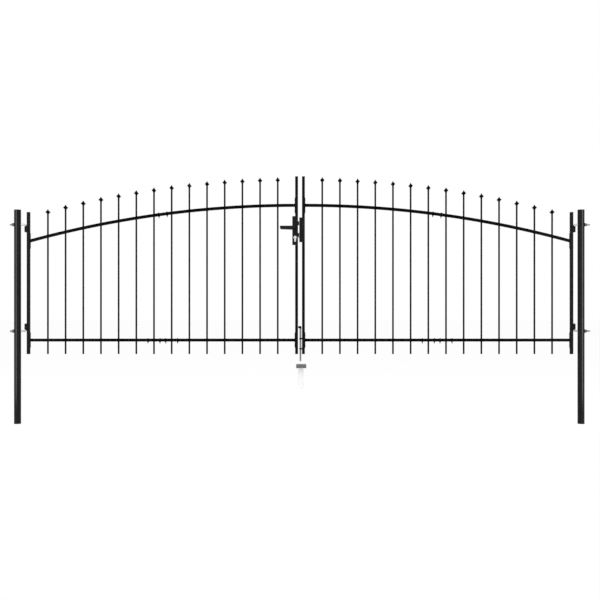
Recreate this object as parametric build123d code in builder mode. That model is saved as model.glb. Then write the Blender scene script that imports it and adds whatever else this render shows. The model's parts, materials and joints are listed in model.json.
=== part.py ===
from build123d import *
import os
from math import sqrt

os.makedirs("parts", exist_ok=True)

# A double-leaf driveway gate between two round posts, in millimetres.
# The origin is the centre of the left post's foot: +X runs along the gate to the
# right post, +Y points away from the viewer and +Z up. Both posts run on below the
# leaves, because they are set in the ground up to about the ground stop's top.

# Posts
post_diameter = 48.0
post_wall = 1.5

# Leaves, along the gate
leaf_width = 1900.0
left_post_gap = 43.0
right_post_gap = 33.0
centre_gap = 28.0

# Leaves, upwards
leaf_bottom = 488.0  # lower edge of the leaves above the posts' foot
bottom_rail_rise = 98.0  # rail's centre line above the leaf's lower edge
rail_spacing = 945.0  # between the rails' centre lines at the meeting stile
top_rail_radius = 7120.0
meeting_stile_rise = 202.5  # stile's top above the top rail's centre line
hinge_stile_rise = 204.8
post_rise = 17.0  # post's top above the hinge stile's top

# Square tube of the stiles and rails
tube_size = 20.0
tube_wall = 1.2

# Plastic caps on the tubes and posts
cap_thickness = 3.0
cap_plug_depth = 12.0
cap_plug_wall = 1.6
cap_clearance = 0.2
cap_edge = 1.2

# Round bars that pass through both rails
bar_diameter = 12.0
bars_per_leaf = 14
first_bar_gap = 132.0  # from the meeting stile's centre to the first bar's
last_bar_gap = 136.0  # from the last bar's centre to the hinge stile's
bar_hole_clearance = 0.2
bar_end_chamfer = 1.5

# Four-sided spear heads on the bars
spear_rise_meeting = 200.0  # tips above the top rail's centre line, at the meeting stile
spear_rise_hinge = 189.5
spear_point_length = 22.0
spear_base_length = 13.0
spear_width = 30.0
spear_rim = 1.0
spear_point_hollow = 1.8  # how far a flank curves in from a straight line
spear_base_hollow = 1.2

# Plates between the rail ends and the stiles
end_plate_thickness = 3.3
end_plate_height = 110.0
end_plate_corner = 7.0
end_plate_bevel = 1.5

# Spigots and bolts that join the two halves of each rail at mid leaf
spigot_clearance = 0.3
bolt_diameter = 6.0
bolt_hole_clearance = 0.2
bottom_bolt_offset = 42.0  # from the bars on either side of the joint
top_bolt_offset = 29.0  # from the joint
spigot_end_margin = 15.0  # beyond the outermost bolt
bolt_head_width = 11.0
bottom_bolt_head_height = 2.6
top_bolt_head_height = 4.4
bolt_nut_width = 10.0
bolt_nut_height = 5.0
bolt_end_length = 14.0  # below the rail's underside
bolt_seat_clearance = 0.05

# Threaded hooks through the posts that carry the leaves
hook_diameter = 12.0
hook_hole_clearance = 0.2
hook_bend_radius = 10.0
upper_hook_drop = 88.2  # below the hinge stile's top
lower_hook_rise = 161.0  # above the leaf's lower edge
hook_outer_length = 111.0  # from the pin's axis to the threaded end
pin_overrun = 3.0  # how far the pin passes the eye
hook_nut_width = 19.0
hook_nut_height = 12.0
hook_washer_diameter = 26.0
hook_washer_thickness = 3.5
hook_nut_clearance = 0.1

# Hinge brackets on the leaves
eye_height = 40.5
eye_wall = 2.9
pin_clearance = 0.3
eye_end_clearance = 0.4  # between the eye and the hook's bend
saddle_thickness = 3.0
saddle_grip = 13.0  # how far the saddle reaches round the stile

# Lock case, welded into the left leaf's meeting stile
lock_width = 40.0
lock_depth = 28.0
lock_tall = 201.0
lock_gap = 22.0  # below the top rail's end plate
lock_wall = 2.0
lock_corner = 2.0

# Latch tongue and hook-nosed deadbolt, both in channels of the lock case
slide_clearance = 0.5
bolt_reach = 8.0  # how far each stands out of the case at rest
latch_drop = 49.0  # its centre below the case's top
latch_tall = 28.0
latch_thickness = 12.0
latch_bevel = 5.0
latch_travel = 9.0
deadbolt_gap = 3.5  # above the cylinder
deadbolt_neck_tall = 21.0
deadbolt_nose_drop = 17.0  # how far the nose hangs below the neck
deadbolt_nose_flat = 2.5
deadbolt_thickness = 11.0
deadbolt_tail = 26.0
deadbolt_retreat = 6.0  # how far it draws back into the case from rest

# Lever handles on a square spindle
spindle_drop = 80.0  # below the case's top
spindle_inset = 21.0  # from the lock case's edge at the gap
spindle_size = 8.0
spindle_hole_clearance = 0.4
spindle_socket_clearance = 0.1
lever_length = 106.0
lever_tall = 22.0
lever_tip_tall = 19.0
lever_thickness = 9.0
lever_standoff = 32.0  # from the case's face to the lever's outer face
lever_neck_diameter = 18.0
lever_face_clearance = 0.4
lever_tip_round = 9.0
lever_edge = 1.5
lever_socket_floor = 6.0

# Profile cylinder below the levers
cylinder_rise = 51.0  # its round part above the case's bottom
cylinder_inset = 20.6
cylinder_diameter = 17.0
cylinder_tail_width = 10.0
cylinder_total_height = 33.0
cylinder_projection = 3.0
cylinder_clearance = 0.15
keyway_width = 1.8
keyway_height = 8.0
keyway_depth = 6.0

# Keep box on the right leaf, folded round the meeting stile
keep_wall = 3.0
keep_reach = 19.0  # from the stile's face towards the lock
keep_bottom_inset = 20.0  # from the lock case's bottom and top
keep_top_inset = 9.0
keep_slot_clearance = 1.0
keep_corner = 1.5

# Drop bolt on the right leaf, and its guides
drop_bolt_diameter = 12.0
drop_bolt_offset = 10.9  # from the stile's face to the rod's axis
drop_bolt_end_drop = 49.0  # rod's end below the leaf's lower edge
lower_guide_rise = 37.4  # above the leaf's lower edge
guide_spacing = 70.4
guide_thickness = 8.0
guide_eye_diameter = 18.0
guide_bore_clearance = 0.3
bend_stand = 68.2  # straight rod between the upper guide and the bend
bend_radius = 10.0
arm_length = 40.0  # from the rod's axis
arm_turn = 12.0  # degrees from straight out towards the left leaf
grip_wall = 1.5
grip_clearance = 0.1
grip_end = 2.0
grip_overrun = 1.0  # below the start of the bend

# Ground stop under the drop bolt
stop_gap = 22.5  # below the rod's end
stop_width = 71.0
stop_depth = 70.0
stop_thickness = 25.0
stop_offset = 8.5  # from the gate's middle to the block's middle
stop_bore_diameter = 20.0
stop_edge = 2.0
anchor_diameter = 37.0
anchor_wall = 2.0
anchor_length = 149.5
anchor_offset = 5.5
anchor_slant = 16.0  # how much higher the cut lower end is on its left side

# Values that follow from the sizes above
post_radius = post_diameter / 2
tube_inner = tube_size - 2 * tube_wall
bar_radius = bar_diameter / 2
hook_radius = hook_diameter / 2
centre_x = post_radius + left_post_gap + leaf_width + centre_gap / 2
right_post_x = centre_x + centre_gap / 2 + leaf_width + right_post_gap + post_radius
meeting_stile_out = centre_gap / 2 + tube_size / 2
hinge_stile_out = centre_gap / 2 + leaf_width - tube_size / 2
stile_spacing = hinge_stile_out - meeting_stile_out
rail_start_out = meeting_stile_out + tube_size / 2 + end_plate_thickness
rail_end_out = hinge_stile_out - tube_size / 2 - end_plate_thickness
bar_pitch = (stile_spacing - first_bar_gap - last_bar_gap) / (bars_per_leaf - 1)
bars_per_half = bars_per_leaf // 2
splice_out = meeting_stile_out + first_bar_gap + (bars_per_half - 0.5) * bar_pitch
eye_radius = hook_radius + pin_clearance + eye_wall
pin_out = centre_gap / 2 + leaf_width + eye_radius


def across(side, out):
    """The X of a place that lies so far out from the gate's middle, left (-1) or right (1)."""
    return centre_x + side * out


bottom_rail_height = leaf_bottom + bottom_rail_rise
top_rail_height = bottom_rail_height + rail_spacing


def rail_height(out):
    """The top rail's centre line: an arc with its crown at the meeting stile."""
    run = out - meeting_stile_out
    return top_rail_height - top_rail_radius + sqrt(top_rail_radius**2 - run**2)


def spear_height(out):
    """The tips' height: their rise over the rail falls off towards the hinge stile."""
    share = (out - meeting_stile_out) / stile_spacing
    rise_lost = (spear_rise_meeting - spear_rise_hinge) * share**2
    return rail_height(out) + spear_rise_meeting - rise_lost


meeting_stile_top = top_rail_height + meeting_stile_rise
hinge_stile_top = rail_height(hinge_stile_out) + hinge_stile_rise
post_height = hinge_stile_top + post_rise
lower_hook_height = leaf_bottom + lower_hook_rise
upper_hook_height = hinge_stile_top - upper_hook_drop
tall_enough = 2 * meeting_stile_top
bar_places = [
    meeting_stile_out + first_bar_gap + number * bar_pitch for number in range(bars_per_leaf)
]


def write_piece(piece, node):
    piece.part.label = node
    export_step(piece.part, f"parts/{node}.step")


# Posts, their caps, the hooks and their nuts

hook_heights = (lower_hook_height, upper_hook_height)


def make_post(x, node):
    with BuildPart() as post:
        with BuildSketch():
            with Locations((x, 0)):
                Circle(post_radius)
                Circle(post_radius - post_wall, mode=Mode.SUBTRACT)
        extrude(amount=post_height - cap_thickness)
        for height in hook_heights:
            with Locations(Location((x, 0, height), (0, 90, 0))):
                Cylinder(hook_radius + hook_hole_clearance, 2 * post_diameter, mode=Mode.SUBTRACT)
    write_piece(post, node)


make_post(0, "left_post")
make_post(right_post_x, "right_post")

with BuildPart() as post_caps:
    for post_x in (0, right_post_x):
        plug_radius = post_radius - post_wall - cap_clearance
        with BuildSketch(Plane.XY.offset(post_height - cap_thickness)):
            with Locations((post_x, 0)):
                Circle(post_radius)
        extrude(amount=cap_thickness)
        with BuildSketch(Plane.XY.offset(post_height - cap_thickness)):
            with Locations((post_x, 0)):
                Circle(plug_radius)
                Circle(plug_radius - cap_plug_wall, mode=Mode.SUBTRACT)
        extrude(amount=-cap_plug_depth)
    chamfer(post_caps.faces().group_by(Axis.Z)[-1].edges(), cap_edge)
write_piece(post_caps, "post_caps")


def pin_end_height(height):
    """The free end of a hook's pin: the upper one points down, the lower one up."""
    turn = 1 if height == lower_hook_height else -1
    return height + turn * (hook_bend_radius + eye_end_clearance + eye_height + pin_overrun)


def make_hooks(side, node):
    with BuildPart() as hooks:
        for height in hook_heights:
            pin_x = across(side, pin_out)
            end_x = pin_x + side * hook_outer_length
            with BuildLine(Plane.XZ) as route:
                FilletPolyline(
                    (end_x, height),
                    (pin_x, height),
                    (pin_x, pin_end_height(height)),
                    radius=hook_bend_radius,
                )
            with BuildSketch(Plane(origin=(end_x, 0, height), z_dir=(-side, 0, 0))):
                Circle(hook_radius)
            sweep(path=route.wires()[0])
    write_piece(hooks, node)


make_hooks(-1, "left_hinge_hooks")
make_hooks(1, "right_hinge_hooks")

with BuildPart() as hinge_nuts:
    for side, post_x in ((-1, 0), (1, right_post_x)):
        for height in hook_heights:
            seat_x = post_x + side * (post_radius + hook_nut_clearance)
            nut_plane = Plane(origin=(seat_x, 0, height), x_dir=(0, 1, 0), z_dir=(side, 0, 0))
            with BuildSketch(nut_plane):
                Circle(hook_washer_diameter / 2)
            extrude(amount=hook_washer_thickness)
            with BuildSketch(nut_plane.offset(hook_washer_thickness)):
                RegularPolygon(hook_nut_width / 2, 6, major_radius=False)
            extrude(amount=hook_nut_height)
            with BuildSketch(nut_plane):
                Circle(hook_radius + hook_nut_clearance)
            extrude(amount=hook_washer_thickness + hook_nut_height, mode=Mode.SUBTRACT)
write_piece(hinge_nuts, "hinge_nuts")

# Ground stop: a block with a hole for the drop bolt, on a tube that is set in the ground

drop_bolt_x = across(1, centre_gap / 2 - drop_bolt_offset)
drop_bolt_end_height = leaf_bottom - drop_bolt_end_drop
stop_bottom = drop_bolt_end_height - stop_gap - stop_thickness
anchor_bottom = stop_bottom - anchor_length

with BuildPart() as ground_stop_block:
    with BuildSketch(Plane.XY.offset(stop_bottom)):
        with Locations((across(1, stop_offset), 0)):
            Rectangle(stop_width, stop_depth)
        with Locations((drop_bolt_x, 0)):
            Circle(stop_bore_diameter / 2, mode=Mode.SUBTRACT)
    extrude(amount=stop_thickness)
    outline = ground_stop_block.faces().sort_by(Axis.Z)[-1].outer_wire()
    chamfer(outline.edges(), stop_edge)
write_piece(ground_stop_block, "ground_stop_block")

with BuildPart() as ground_stop_anchor:
    with BuildSketch(Plane.XY.offset(anchor_bottom)):
        with Locations((across(1, anchor_offset), 0)):
            Circle(anchor_diameter / 2)
            Circle(anchor_diameter / 2 - anchor_wall, mode=Mode.SUBTRACT)
    extrude(amount=anchor_length)
    anchor_left = across(1, anchor_offset - anchor_diameter / 2)
    anchor_right = across(1, anchor_offset + anchor_diameter / 2)
    with BuildSketch(Plane.XZ):
        with BuildLine():
            Polyline(
                (anchor_left, anchor_bottom),
                (anchor_right, anchor_bottom),
                (anchor_left, anchor_bottom + anchor_slant),
                close=True,
            )
        make_face()
    extrude(amount=anchor_diameter, both=True, mode=Mode.SUBTRACT)
write_piece(ground_stop_anchor, "ground_stop_anchor")


# Leaves: stiles and their caps


def make_upright_tubes(x, lengths, node):
    """Square tubes one above the other, each given as its bottom and top."""
    with BuildPart() as stile:
        for bottom, top in lengths:
            with BuildSketch(Plane.XY.offset(bottom)):
                with Locations((x, 0)):
                    Rectangle(tube_size, tube_size)
                    Rectangle(tube_inner, tube_inner, mode=Mode.SUBTRACT)
            extrude(amount=top - bottom)
    write_piece(stile, node)


def make_stile_caps(side, node):
    plug_size = tube_inner - 2 * cap_clearance
    plug_hollow = plug_size - 2 * cap_plug_wall
    with BuildPart() as caps:
        for out, top in (
            (meeting_stile_out, meeting_stile_top),
            (hinge_stile_out, hinge_stile_top),
        ):
            x = across(side, out)
            for seat, up in ((leaf_bottom + cap_thickness, -1), (top - cap_thickness, 1)):
                with BuildSketch(Plane.XY.offset(seat)) as head:
                    with Locations((x, 0)):
                        Rectangle(tube_size, tube_size)
                extrude(head.sketch, amount=up * cap_thickness)
                with BuildSketch(Plane.XY.offset(seat)) as plug:
                    with Locations((x, 0)):
                        Rectangle(plug_size, plug_size)
                        Rectangle(plug_hollow, plug_hollow, mode=Mode.SUBTRACT)
                extrude(plug.sketch, amount=-up * cap_plug_depth)
    write_piece(caps, node)


# Leaves: rails in two halves, pierced for the bars and for the bolts of the joint


def drill_bars(side, places):
    for out in places:
        with Locations((across(side, out), 0, tall_enough / 2)):
            Cylinder(bar_radius + bar_hole_clearance, tall_enough, mode=Mode.SUBTRACT)


def drill_bolts(planes):
    for plane in planes:
        with Locations(plane):
            Cylinder(bolt_diameter / 2 + bolt_hole_clearance, 2 * tube_size, mode=Mode.SUBTRACT)


def bottom_bolt_places():
    """Two bolts on each side of the joint, with a bar between them."""
    near = bar_pitch / 2 - bottom_bolt_offset
    far = bar_pitch / 2 + bottom_bolt_offset
    return [splice_out + offset for offset in (-far, -near, near, far)]


def bottom_bolt_planes(side, places):
    """Planes on the bottom rail's centre line, facing up."""
    return [
        Plane(origin=(across(side, out), 0, bottom_rail_height), x_dir=(0, 1, 0))
        for out in places
    ]


def top_bolt_places():
    return [splice_out - top_bolt_offset, splice_out + top_bolt_offset]


def top_bolt_planes(side, places):
    """Planes on the top rail's centre line, square to the arch."""
    middle = Vector(across(side, meeting_stile_out), 0, top_rail_height - top_rail_radius)
    points = [Vector(across(side, out), 0, rail_height(out)) for out in places]
    return [Plane(origin=point, x_dir=(0, 1, 0), z_dir=point - middle) for point in points]


def within(places, start, end):
    return [out for out in places if start < out < end]


def straight_section(side, start, size):
    """The end view of a square bar along the bottom rail."""
    end_view = Plane(
        origin=(across(side, start), 0, bottom_rail_height), x_dir=(0, 1, 0), z_dir=(side, 0, 0)
    )
    with BuildSketch(end_view) as section:
        Rectangle(size, size)
    return section.sketch


def arched_strip(side, start, end, size):
    """The side view of a curved bar along the top rail, between two places."""
    crown_x = across(side, meeting_stile_out)
    middle_x = across(side, (start + end) / 2)
    with BuildSketch(Plane.XZ) as strip:
        with Locations((crown_x, top_rail_height - top_rail_radius)):
            Circle(top_rail_radius + size / 2)
            Circle(top_rail_radius - size / 2, mode=Mode.SUBTRACT)
        with Locations((middle_x, top_rail_height)):
            Rectangle(end - start, top_rail_height, mode=Mode.INTERSECT)
    return strip.sketch


def make_bottom_rail(side, start, end, node):
    with BuildPart() as rail:
        extrude(straight_section(side, start, tube_size), amount=end - start)
        extrude(
            straight_section(side, start, tube_inner), amount=end - start, mode=Mode.SUBTRACT
        )
        drill_bars(side, within(bar_places, start, end))
        drill_bolts(bottom_bolt_planes(side, within(bottom_bolt_places(), start, end)))
    write_piece(rail, node)


def make_top_rail(side, start, end, node):
    with BuildPart() as rail:
        extrude(arched_strip(side, start, end, tube_size), amount=tube_size / 2, both=True)
        extrude(
            arched_strip(side, start, end, tube_inner),
            amount=tube_inner / 2,
            both=True,
            mode=Mode.SUBTRACT,
        )
        drill_bars(side, within(bar_places, start, end))
        drill_bolts(top_bolt_planes(side, within(top_bolt_places(), start, end)))
    write_piece(rail, node)


def make_spigots(side, node):
    """Square bars inside the rails, across the joint, pierced like the rails."""
    size = tube_inner - 2 * spigot_clearance
    bottom_places = bottom_bolt_places()
    top_places = top_bolt_places()
    bottom_start = bottom_places[0] - spigot_end_margin
    bottom_end = bottom_places[-1] + spigot_end_margin
    top_start = top_places[0] - spigot_end_margin
    top_end = top_places[-1] + spigot_end_margin
    with BuildPart() as spigots:
        extrude(straight_section(side, bottom_start, size), amount=bottom_end - bottom_start)
        drill_bars(side, within(bar_places, bottom_start, bottom_end))
        drill_bolts(bottom_bolt_planes(side, bottom_places))
        extrude(arched_strip(side, top_start, top_end, size), amount=size / 2, both=True)
        drill_bolts(top_bolt_planes(side, top_places))
    write_piece(spigots, node)


def make_splice_bolts(side, node):
    """Low heads on the rails, nuts and threaded ends below them."""
    with BuildPart() as bolts:
        for planes, head_height in (
            (bottom_bolt_planes(side, bottom_bolt_places()), bottom_bolt_head_height),
            (top_bolt_planes(side, top_bolt_places()), top_bolt_head_height),
        ):
            for plane in planes:
                with BuildSketch(plane.offset(-tube_size / 2 - bolt_end_length)):
                    Circle(bolt_diameter / 2)
                extrude(amount=bolt_end_length + tube_size + head_height / 2)
                with BuildSketch(plane.offset(-tube_size / 2 - bolt_seat_clearance)):
                    RegularPolygon(bolt_nut_width / 2, 6, major_radius=False)
                extrude(amount=-bolt_nut_height)
                with BuildSketch(plane.offset(tube_size / 2 + bolt_seat_clearance)):
                    RegularPolygon(bolt_head_width / 2, 6, major_radius=False)
                extrude(amount=head_height)
    write_piece(bolts, node)


# Leaves: bars with their spear heads, end plates and hinge brackets

with BuildPart() as spear_head:
    spear_foot = -spear_point_length - spear_base_length
    with BuildSketch(Plane.XZ) as spear_outline:
        with BuildLine():
            rim_top = (spear_width / 2, -spear_point_length)
            rim_bottom = (spear_width / 2, -spear_point_length - spear_rim)
            SagittaArc((0, 0), rim_top, -spear_point_hollow)
            Line(rim_top, rim_bottom)
            SagittaArc(rim_bottom, (bar_radius, spear_foot), -spear_base_hollow)
            Polyline((bar_radius, spear_foot), (0, spear_foot), (0, 0))
        make_face()
        mirror(about=Plane.YZ)
    extrude(spear_outline.sketch, amount=spear_width / 2, both=True)
    side_outline = spear_outline.sketch.rotate(Axis.Z, 90)
    extrude(side_outline, amount=spear_width / 2, both=True, mode=Mode.INTERSECT)


def make_bars(side, node):
    with BuildPart() as bars:
        for out in bar_places:
            seat = spear_height(out) + spear_foot
            with BuildSketch(Plane.XY.offset(leaf_bottom)):
                with Locations((across(side, out), 0)):
                    Circle(bar_radius)
            extrude(amount=seat - leaf_bottom)
        chamfer(bars.faces().group_by(Axis.Z)[0].edges(), bar_end_chamfer)
    write_piece(bars, node)


def make_spear_heads(side, node):
    with BuildPart() as heads:
        for out in bar_places:
            with Locations((across(side, out), 0, spear_height(out))):
                add(spear_head.part)
    write_piece(heads, node)


def make_end_plates(side, node):
    """One plate at each end of each rail, flat against its stile."""
    with BuildPart() as plates:
        for seat_out, inwards, height in (
            (rail_start_out - end_plate_thickness, side, bottom_rail_height),
            (rail_end_out + end_plate_thickness, -side, bottom_rail_height),
            (rail_start_out - end_plate_thickness, side, rail_height(rail_start_out)),
            (rail_end_out + end_plate_thickness, -side, rail_height(rail_end_out)),
        ):
            seat = Plane(
                origin=(across(side, seat_out), 0, height), x_dir=(0, 1, 0), z_dir=(inwards, 0, 0)
            )
            with BuildSketch(seat):
                RectangleRounded(tube_size, end_plate_height, end_plate_corner)
            extrude(amount=end_plate_thickness)
            rail_side = plates.faces(Select.LAST).sort_by(Axis.X)[0 if inwards < 0 else -1]
            chamfer(rail_side.edges().filter_by(Axis.Y), end_plate_bevel)
    write_piece(plates, node)


def make_hinge_brackets(side, node):
    """Saddles that grip the hinge stile, each with an eye round a hook's pin."""
    stile_face = centre_gap / 2 + leaf_width
    saddle_length = saddle_grip + eye_radius / 2
    with BuildPart() as brackets:
        for seat in (
            lower_hook_height + hook_bend_radius + eye_end_clearance,
            upper_hook_height - hook_bend_radius - eye_end_clearance - eye_height,
        ):
            with BuildSketch(Plane.XY.offset(seat)):
                with Locations((across(side, stile_face - saddle_grip + saddle_length / 2), 0)):
                    Rectangle(saddle_length, tube_size + 2 * saddle_thickness)
                with Locations((across(side, pin_out), 0)):
                    Circle(eye_radius)
                    Circle(hook_radius + pin_clearance, mode=Mode.SUBTRACT)
                with Locations((across(side, hinge_stile_out), 0)):
                    Rectangle(tube_size, tube_size, mode=Mode.SUBTRACT)
            extrude(amount=eye_height)
    write_piece(brackets, node)


lower_cap_seat = leaf_bottom + cap_thickness
hinge_cap_seat = hinge_stile_top - cap_thickness
meeting_cap_seat = meeting_stile_top - cap_thickness

for side, leaf in ((-1, "left"), (1, "right")):
    make_upright_tubes(
        across(side, hinge_stile_out), [(lower_cap_seat, hinge_cap_seat)], f"{leaf}_hinge_stile"
    )
    make_stile_caps(side, f"{leaf}_stile_caps")
    make_bottom_rail(side, rail_start_out, splice_out, f"{leaf}_bottom_rail_inner")
    make_bottom_rail(side, splice_out, rail_end_out, f"{leaf}_bottom_rail_outer")
    make_top_rail(side, rail_start_out, splice_out, f"{leaf}_top_rail_inner")
    make_top_rail(side, splice_out, rail_end_out, f"{leaf}_top_rail_outer")
    make_spigots(side, f"{leaf}_rail_spigots")
    make_splice_bolts(side, f"{leaf}_splice_bolts")
    make_bars(side, f"{leaf}_bars")
    make_spear_heads(side, f"{leaf}_spear_heads")
    make_end_plates(side, f"{leaf}_end_plates")
    make_hinge_brackets(side, f"{leaf}_hinge_brackets")

# Lock case in the left meeting stile, with channels for the latch and the deadbolt

lock_top = top_rail_height - end_plate_height / 2 - lock_gap
lock_bottom = lock_top - lock_tall
lock_edge_x = across(-1, centre_gap / 2)
lock_left_x = lock_edge_x - lock_width
spindle_x = lock_edge_x - spindle_inset
spindle_height = lock_top - spindle_drop
cylinder_x = lock_edge_x - cylinder_inset
cylinder_height = lock_bottom + cylinder_rise
bolt_tip_x = lock_edge_x + bolt_reach

latch_height = lock_top - latch_drop
latch_low = latch_height - latch_tall / 2
latch_high = latch_height + latch_tall / 2
latch_end_x = lock_left_x + lock_wall + latch_travel + 2 * slide_clearance

deadbolt_neck_low = cylinder_height + cylinder_diameter / 2 + deadbolt_gap
deadbolt_high = deadbolt_neck_low + deadbolt_neck_tall
deadbolt_low = deadbolt_neck_low - deadbolt_nose_drop
deadbolt_end_x = lock_edge_x - deadbolt_tail

make_upright_tubes(
    across(-1, meeting_stile_out),
    [(lower_cap_seat, lock_bottom), (lock_top, meeting_cap_seat)],
    "left_meeting_stile",
)
make_upright_tubes(
    across(1, meeting_stile_out), [(lower_cap_seat, meeting_cap_seat)], "right_meeting_stile"
)


def box_between(x_low, x_high, thickness, z_low, z_high, mode=Mode.ADD):
    """A block centred on the gate's plane, between two places along it and two heights."""
    with BuildSketch(Plane.XZ) as side_view:
        with Locations(((x_low + x_high) / 2, (z_low + z_high) / 2)):
            Rectangle(x_high - x_low, z_high - z_low)
    extrude(side_view.sketch, amount=thickness / 2, both=True, mode=mode)


def cut_channel(x_low, x_high, thickness, z_low, z_high):
    """A channel round a sliding piece of these sizes, with its running clearance."""
    box_between(
        x_low - slide_clearance,
        x_high,
        thickness + 2 * slide_clearance,
        z_low - slide_clearance,
        z_high + slide_clearance,
        mode=Mode.SUBTRACT,
    )


def cylinder_profile(clearance):
    """The end view of the profile cylinder: a round barrel with a narrower tail below."""
    tail_drop = cylinder_total_height - cylinder_diameter / 2 - cylinder_tail_width / 2
    with BuildSketch(Plane.XZ) as profile:
        with Locations((cylinder_x, cylinder_height)):
            Circle(cylinder_diameter / 2 + clearance)
        with Locations((cylinder_x, cylinder_height - tail_drop / 2)):
            Rectangle(cylinder_tail_width + 2 * clearance, tail_drop)
        with Locations((cylinder_x, cylinder_height - tail_drop)):
            Circle(cylinder_tail_width / 2 + clearance)
    return profile.sketch


with BuildPart() as lock_case:
    box_between(lock_left_x, lock_edge_x, lock_depth, lock_bottom, lock_top)
    fillet(lock_case.edges().filter_by(Axis.Z), lock_corner)
    cut_channel(
        latch_end_x - latch_travel, lock_edge_x, latch_thickness, latch_low, latch_high
    )
    cut_channel(
        deadbolt_end_x - deadbolt_retreat,
        lock_edge_x,
        deadbolt_thickness,
        deadbolt_neck_low,
        deadbolt_high,
    )
    cut_channel(
        lock_edge_x - deadbolt_retreat, lock_edge_x, deadbolt_thickness, deadbolt_low, deadbolt_high
    )
    with BuildSketch(Plane.XZ):
        with Locations((spindle_x, spindle_height)):
            Circle(spindle_size / sqrt(2) + spindle_hole_clearance)
    extrude(amount=lock_depth, both=True, mode=Mode.SUBTRACT)
    extrude(
        cylinder_profile(cylinder_clearance), amount=lock_depth, both=True, mode=Mode.SUBTRACT
    )
write_piece(lock_case, "lock_case")

with BuildPart() as lock_cylinder:
    cylinder_half = lock_depth / 2 + cylinder_projection
    extrude(cylinder_profile(0), amount=cylinder_half, both=True)
    for end, inwards in ((-cylinder_half, 1), (cylinder_half, -1)):
        with BuildSketch(Plane.XZ.offset(end)) as keyway:
            with Locations((cylinder_x, cylinder_height)):
                Rectangle(keyway_width, keyway_height)
        extrude(keyway.sketch, amount=inwards * keyway_depth, mode=Mode.SUBTRACT)
write_piece(lock_cylinder, "lock_cylinder")

with BuildPart() as latch_tongue:
    box_between(latch_end_x, bolt_tip_x, latch_thickness, latch_low, latch_high)
    tip_edges = latch_tongue.faces().sort_by(Axis.X)[-1].edges().filter_by(Axis.Z)
    chamfer(tip_edges.sort_by(Axis.Y)[-1], latch_bevel)
write_piece(latch_tongue, "latch_tongue")

with BuildPart() as deadbolt:
    box_between(deadbolt_end_x, bolt_tip_x, deadbolt_thickness, deadbolt_neck_low, deadbolt_high)
    with BuildSketch(Plane.XZ):
        with BuildLine():
            Polyline(
                (lock_edge_x, deadbolt_neck_low),
                (bolt_tip_x - deadbolt_nose_flat, deadbolt_low),
                (bolt_tip_x, deadbolt_low),
                (bolt_tip_x, deadbolt_neck_low),
                close=True,
            )
        make_face()
    extrude(amount=deadbolt_thickness / 2, both=True)
write_piece(deadbolt, "deadbolt")

# Lever handles on both faces of the case, on one square spindle

with BuildPart() as lever_spindle:
    spindle_half = lock_depth / 2 + lever_standoff - lever_socket_floor - spindle_socket_clearance
    box_between(
        spindle_x - spindle_size / 2,
        spindle_x + spindle_size / 2,
        2 * spindle_half,
        spindle_height - spindle_size / 2,
        spindle_height + spindle_size / 2,
    )
write_piece(lever_spindle, "lever_spindle")

lever_top = spindle_height + lever_tall / 2
lever_tip_x = spindle_x - lever_length

with BuildPart() as front_lever:
    with BuildSketch(Plane.XZ.offset(lock_depth / 2 + lever_face_clearance)):
        with Locations((spindle_x, spindle_height)):
            Circle(lever_neck_diameter / 2)
    extrude(amount=lever_standoff - lever_face_clearance)
    with BuildSketch(Plane.XZ.offset(lock_depth / 2 + lever_standoff - lever_thickness)):
        with BuildLine():
            Polyline(
                (spindle_x, lever_top),
                (lever_tip_x, lever_top),
                (lever_tip_x, lever_top - lever_tip_tall),
                (spindle_x, lever_top - lever_tall),
                close=True,
            )
        make_face()
        with Locations((spindle_x, spindle_height)):
            Circle(lever_tall / 2)
    extrude(amount=lever_thickness)
    tip_edges = front_lever.faces().filter_by(Axis.X).sort_by(Axis.X)[0].edges().filter_by(Axis.Y)
    fillet(tip_edges.sort_by(Axis.Z)[0], lever_tip_round)
    chamfer(front_lever.faces().sort_by(Axis.Y)[0].outer_wire().edges(), lever_edge)
    with BuildSketch(Plane.XZ):
        with Locations((spindle_x, spindle_height)):
            socket_size = spindle_size + 2 * spindle_socket_clearance
            Rectangle(socket_size, socket_size)
    extrude(amount=lock_depth / 2 + lever_standoff - lever_socket_floor, mode=Mode.SUBTRACT)
write_piece(front_lever, "front_lever")

with BuildPart() as back_lever:
    mirror(front_lever.part, about=Plane.XZ)
write_piece(back_lever, "back_lever")

# Keep box on the right leaf: a folded plate round the stile, closed above and below

keep_bottom = lock_bottom + keep_bottom_inset
keep_top = lock_top - keep_top_inset
stile_face_x = across(1, centre_gap / 2)
keep_left_x = stile_face_x - keep_reach
keep_right_x = stile_face_x + tube_size
keep_inner_x = keep_left_x + keep_wall

with BuildPart() as keep_box:
    box_between(keep_left_x, keep_right_x, tube_size + 2 * keep_wall, keep_bottom, keep_top)
    front_edges = keep_box.faces().sort_by(Axis.X)[0].edges().filter_by(Axis.Z)
    fillet(front_edges, keep_corner)
    box_between(
        keep_inner_x,
        stile_face_x,
        tube_size,
        keep_bottom + keep_wall,
        keep_top - keep_wall,
        mode=Mode.SUBTRACT,
    )
    box_between(stile_face_x, keep_right_x, tube_size, keep_bottom, keep_top, mode=Mode.SUBTRACT)
    for slot_thickness, slot_low, slot_high in (
        (latch_thickness, latch_low, latch_high),
        (deadbolt_thickness, deadbolt_low, deadbolt_high),
    ):
        box_between(
            keep_left_x,
            keep_inner_x,
            slot_thickness + 2 * keep_slot_clearance,
            slot_low - keep_slot_clearance,
            slot_high + keep_slot_clearance,
            mode=Mode.SUBTRACT,
        )
write_piece(keep_box, "keep_box")

# Drop bolt on the right leaf, in two guides on the meeting stile

upper_guide_rise = lower_guide_rise + guide_spacing
guide_reach = stile_face_x - drop_bolt_x

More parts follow.
